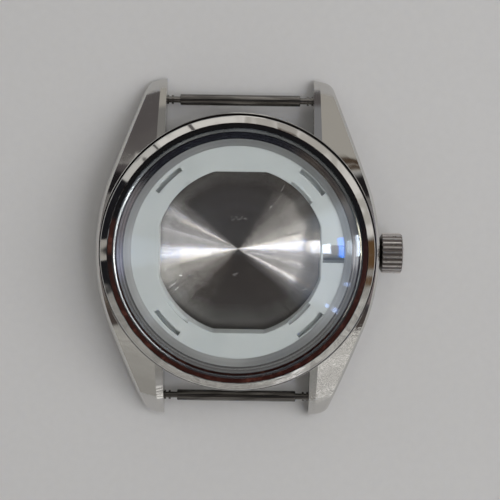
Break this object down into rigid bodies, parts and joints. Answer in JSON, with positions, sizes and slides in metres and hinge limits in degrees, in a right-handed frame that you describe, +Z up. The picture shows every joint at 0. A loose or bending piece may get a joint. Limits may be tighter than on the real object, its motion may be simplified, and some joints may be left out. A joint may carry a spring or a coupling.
{
  "type": "watch case",
  "caption": "Empty round steel wristwatch case with domed crystal, white movement ring, fluted crown, screwed back and sprung strap bars between curved lugs.",
  "frame": {"origin": "centre of the case back's flat rest face", "axes": "+Z up through the crystal, +Y towards the twelve o'clock lugs, +X out along the crown"},
  "size_m": [0.0414, 0.0464, 0.0118],
  "materials": {
    "case_steel": "polished stainless steel with satin lug facets",
    "bezel_steel": "mirror polished stainless steel",
    "crystal_glass": "clear, polished, with a faint blue coating",
    "crystal_gasket": "dark moulded nylon",
    "flange_steel": "satin stainless steel",
    "ring_plastic": "milky white moulded plastic",
    "tube_steel": "turned stainless steel",
    "seal_rubber": "soft black rubber",
    "crown_steel": "turned and fluted stainless steel",
    "back_steel": "turned stainless steel, ring brushed outside",
    "bar_steel": "turned stainless steel",
    "spring_steel": "drawn spring wire"
  },
  "bodies": {
    "case": {"mid_case": "case_steel", "bezel": "bezel_steel", "crystal": "crystal_glass", "crystal_gasket": "crystal_gasket", "flange_ring": "flange_steel", "movement_ring": "ring_plastic", "crown_tube": "tube_steel", "tube_gasket": "seal_rubber"},
    "crown_seal": {"crown_gasket": "seal_rubber", "crown_washer": "tube_steel"},
    "crown_cap": {"crown": "crown_steel"},
    "back_seal": {"back_gasket": "seal_rubber"},
    "back": {"case_back": "back_steel"},
    "bar_12": {"bar_tube_12": "bar_steel", "bar_spring_12": "spring_steel"},
    "tip_left_12": {"bar_tip_left_12": "bar_steel"},
    "tip_right_12": {"bar_tip_right_12": "bar_steel"},
    "bar_6": {"bar_tube_6": "bar_steel", "bar_spring_6": "spring_steel"},
    "tip_left_6": {"bar_tip_left_6": "bar_steel"},
    "tip_right_6": {"bar_tip_right_6": "bar_steel"}
  },
  "joints": [
    {"name": "crown_pull", "type": "slide", "parent": "case", "child": "crown_seal", "axis": [1, 0, 0], "range_m": [0, 0.0012]},
    {"name": "crown_turn", "type": "hinge", "parent": "crown_seal", "child": "crown_cap", "pos_m": [0.01905, 0, 0.0052], "axis": [1, 0, 0], "continuous": true},
    {"name": "back_travel", "type": "slide", "parent": "case", "child": "back_seal", "axis": [0, 0, -1], "range_m": [0, 0.00175]},
    {"name": "back_unscrew", "type": "hinge", "parent": "back_seal", "child": "back", "pos_m": [0, 0, 0.001], "axis": [0, 0, -1], "range_deg": [0, 1260]},
    {"name": "bar_turn_12", "type": "hinge", "parent": "case", "child": "bar_12", "pos_m": [0, 0.0203, 0.0024], "axis": [1, 0, 0], "continuous": true},
    {"name": "tip_press_left_12", "type": "slide", "parent": "bar_12", "child": "tip_left_12", "axis": [1, 0, 0], "range_m": [0, 0.00075], "stiffness_N_per_m": 400, "deforming": ["bar_spring_12"]},
    {"name": "tip_press_right_12", "type": "slide", "parent": "bar_12", "child": "tip_right_12", "axis": [-1, 0, 0], "range_m": [0, 0.00075], "stiffness_N_per_m": 400, "deforming": ["bar_spring_12"]},
    {"name": "bar_turn_6", "type": "hinge", "parent": "case", "child": "bar_6", "pos_m": [0, -0.0203, 0.0024], "axis": [1, 0, 0], "continuous": true},
    {"name": "tip_press_left_6", "type": "slide", "parent": "bar_6", "child": "tip_left_6", "axis": [1, 0, 0], "range_m": [0, 0.00075], "stiffness_N_per_m": 400, "deforming": ["bar_spring_6"]},
    {"name": "tip_press_right_6", "type": "slide", "parent": "bar_6", "child": "tip_right_6", "axis": [-1, 0, 0], "range_m": [0, 0.00075], "stiffness_N_per_m": 400, "deforming": ["bar_spring_6"]}
  ],
  "couplings": [
    {"joint": "back_travel", "follows": "back_unscrew", "m_per_rad": 0.000079577}
  ]
}
